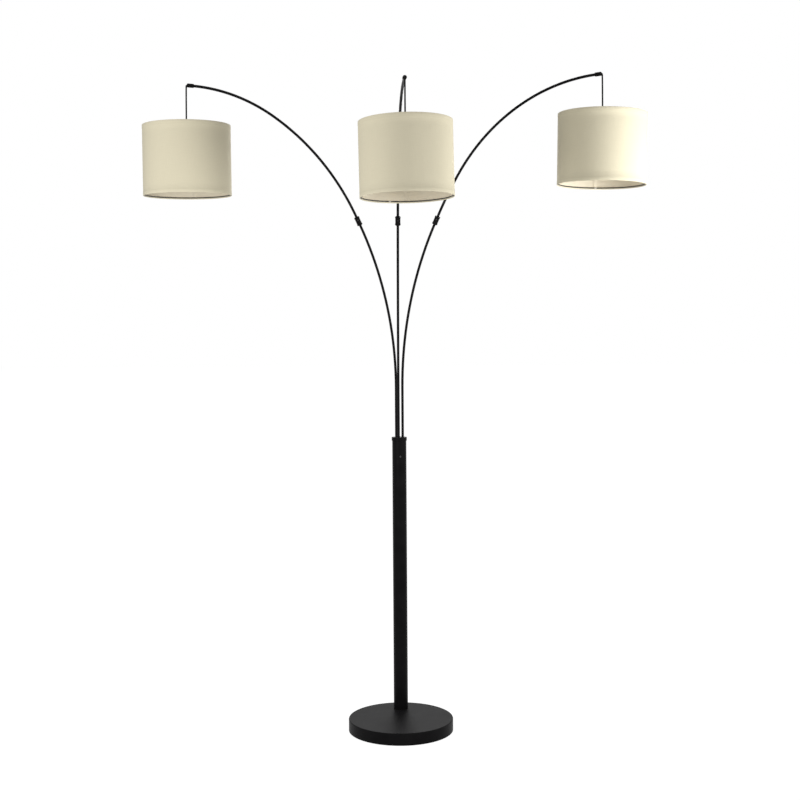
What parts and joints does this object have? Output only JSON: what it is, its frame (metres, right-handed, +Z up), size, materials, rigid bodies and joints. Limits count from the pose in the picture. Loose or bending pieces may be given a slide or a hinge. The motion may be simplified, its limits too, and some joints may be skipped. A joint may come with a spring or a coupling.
{
  "type": "tree floor lamp",
  "caption": "Floor lamp with a round weighted base, a straight pole and bent swivelling arms, each with a fabric drum shade on a short cord.",
  "frame": {"origin": "on the floor, in the middle of the base's underside; the pole stands 108 mm behind it", "axes": "+Z up along the pole, -Y to the front that the arms reach towards, +X to the right seen from the front"},
  "size_m": [1.5968, 0.9782, 2.1855],
  "materials": {
    "black_metal": "satin",
    "wire_frame": "satin",
    "weight_iron": "matte",
    "fasteners": "satin",
    "screws": "satin",
    "base_pad": "matte",
    "grommet": "matte",
    "hub_plastic": "matte",
    "holder_plastic": "satin",
    "cord": "matte",
    "inner_wire": "matte",
    "shade_fabric": "matte",
    "bulb_metal": "satin",
    "bulb_glass": "satin"
  },
  "bodies": {
    "stand": {"base_cover": "black_metal", "base_weight": "weight_iron", "base_pad": "base_pad", "inlet_grommet": "grommet", "hollow_stud": "fasteners", "stud_nut": "fasteners", "pole": "black_metal", "pole_cap": "black_metal", "arm_hub": "hub_plastic", "hub_screw": "screws", "splice_block": "inner_wire", "pole_wire": "inner_wire"},
    "left_arm": {"left_lower_tube": "black_metal", "left_connector": "black_metal", "left_connector_screw": "screws", "left_upper_tube": "black_metal", "left_tip_cap": "black_metal", "left_arm_wire": "inner_wire"},
    "left_grip": {"left_cord_grip": "hub_plastic"},
    "left_pendant": {"left_pendant_cord": "cord", "left_holder_cap": "holder_plastic", "left_holder_body": "holder_plastic", "left_shade_nut": "holder_plastic", "left_shade_spider": "wire_frame", "left_shade_bottom_ring": "wire_frame", "left_shade_drum": "shade_fabric", "left_bulb_cap": "bulb_metal", "left_bulb_glass": "bulb_glass"},
    "front_arm": {"front_lower_tube": "black_metal", "front_connector": "black_metal", "front_connector_screw": "screws", "front_upper_tube": "black_metal", "front_tip_cap": "black_metal", "front_arm_wire": "inner_wire"},
    "front_grip": {"front_cord_grip": "hub_plastic"},
    "front_pendant": {"front_pendant_cord": "cord", "front_holder_cap": "holder_plastic", "front_holder_body": "holder_plastic", "front_shade_nut": "holder_plastic", "front_shade_spider": "wire_frame", "front_shade_bottom_ring": "wire_frame", "front_shade_drum": "shade_fabric", "front_bulb_cap": "bulb_metal", "front_bulb_glass": "bulb_glass"},
    "right_arm": {"right_lower_tube": "black_metal", "right_connector": "black_metal", "right_connector_screw": "screws", "right_upper_tube": "black_metal", "right_tip_cap": "black_metal", "right_arm_wire": "inner_wire"},
    "right_grip": {"right_cord_grip": "hub_plastic"},
    "right_pendant": {"right_pendant_cord": "cord", "right_holder_cap": "holder_plastic", "right_holder_body": "holder_plastic", "right_shade_nut": "holder_plastic", "right_shade_spider": "wire_frame", "right_shade_bottom_ring": "wire_frame", "right_shade_drum": "shade_fabric", "right_bulb_cap": "bulb_metal", "right_bulb_glass": "bulb_glass"}
  },
  "joints": [
    {"name": "left_arm_swivel", "type": "hinge", "parent": "stand", "child": "left_arm", "pos_m": [-0.0103, 0.11625, 1.002], "axis": [0, 0, 1], "range_deg": [-100, 28]},
    {"name": "left_shade_swing", "type": "hinge", "parent": "left_arm", "child": "left_grip", "pos_m": [-0.66488, -0.3286, 2.16182], "axis": [-0.5621, 0.8271, 0], "range_deg": [-15, 15], "stiffness_Nm_per_rad": 0.05, "springref_deg": 24.48},
    {"name": "left_shade_sway", "type": "hinge", "parent": "left_grip", "child": "left_pendant", "pos_m": [-0.66488, -0.3286, 2.16182], "axis": [-0.8269, -0.5619, -0.0218], "range_deg": [-15, 15], "stiffness_Nm_per_rad": 0.05, "springref_deg": -8.27},
    {"name": "front_arm_swivel", "type": "hinge", "parent": "stand", "child": "front_arm", "pos_m": [-0.002, 0.09495, 1.002], "axis": [0, 0, 1], "range_deg": [-27, 22]},
    {"name": "front_shade_swing", "type": "hinge", "parent": "front_arm", "child": "front_grip", "pos_m": [0.02364, -0.64506, 2.11642], "axis": [-0.9985, -0.0548, 0], "range_deg": [-15, 15], "stiffness_Nm_per_rad": 0.05, "springref_deg": 39},
    {"name": "front_shade_sway", "type": "hinge", "parent": "front_grip", "child": "front_pendant", "pos_m": [0.02364, -0.64506, 2.11642], "axis": [0.0547, -0.9972, -0.0519], "range_deg": [-15, 15], "stiffness_Nm_per_rad": 0.05, "springref_deg": 7.43},
    {"name": "right_arm_swivel", "type": "hinge", "parent": "stand", "child": "right_arm", "pos_m": [0.0123, 0.1128, 1.002], "axis": [0, 0, 1], "range_deg": [-22, 100]},
    {"name": "right_shade_swing", "type": "hinge", "parent": "right_arm", "child": "right_grip", "pos_m": [0.63995, -0.38289, 2.17891], "axis": [-0.6198, -0.7848, 0], "range_deg": [-15, 15], "stiffness_Nm_per_rad": 0.05, "springref_deg": 24.24},
    {"name": "right_shade_sway", "type": "hinge", "parent": "right_grip", "child": "right_pendant", "pos_m": [0.63995, -0.38289, 2.17891], "axis": [0.7848, -0.6198, -0.007], "range_deg": [-15, 15], "stiffness_Nm_per_rad": 0.05, "springref_deg": 1.42}
  ]
}
